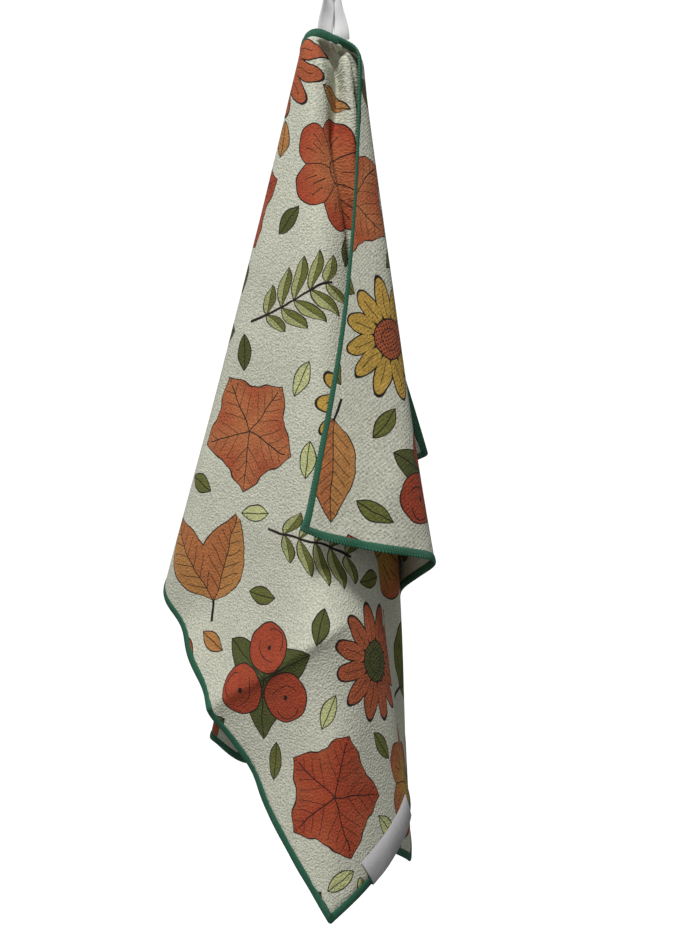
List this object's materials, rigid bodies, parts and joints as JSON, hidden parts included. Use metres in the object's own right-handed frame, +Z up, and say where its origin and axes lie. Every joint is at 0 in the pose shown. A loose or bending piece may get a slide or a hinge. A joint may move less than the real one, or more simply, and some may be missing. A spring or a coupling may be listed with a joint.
{
  "type": "hanging microfiber hand towel",
  "caption": "Rectangular hand towel with a bound edge, draped in folds from the tape loop at the middle of one long edge.",
  "frame": {"origin": "the inside of the loop's top, where it bears on the hook or peg that holds the towel", "axes": "+Z up; the front of the hanging towel faces -Y; +X to the right as seen from the front"},
  "size_m": [0.1832, 0.1966, 0.5906],
  "materials": {
    "towel_cloth": "matte waffle knit, printed",
    "edge_binding": "ribbed thread",
    "hanging_loop": "twill tape",
    "side_label": "satin"
  },
  "bodies": {
    "root": {"towel_cloth": "towel_cloth", "edge_binding": "edge_binding", "hanging_loop": "hanging_loop", "side_label": "side_label"}
  },
  "joints": []
}
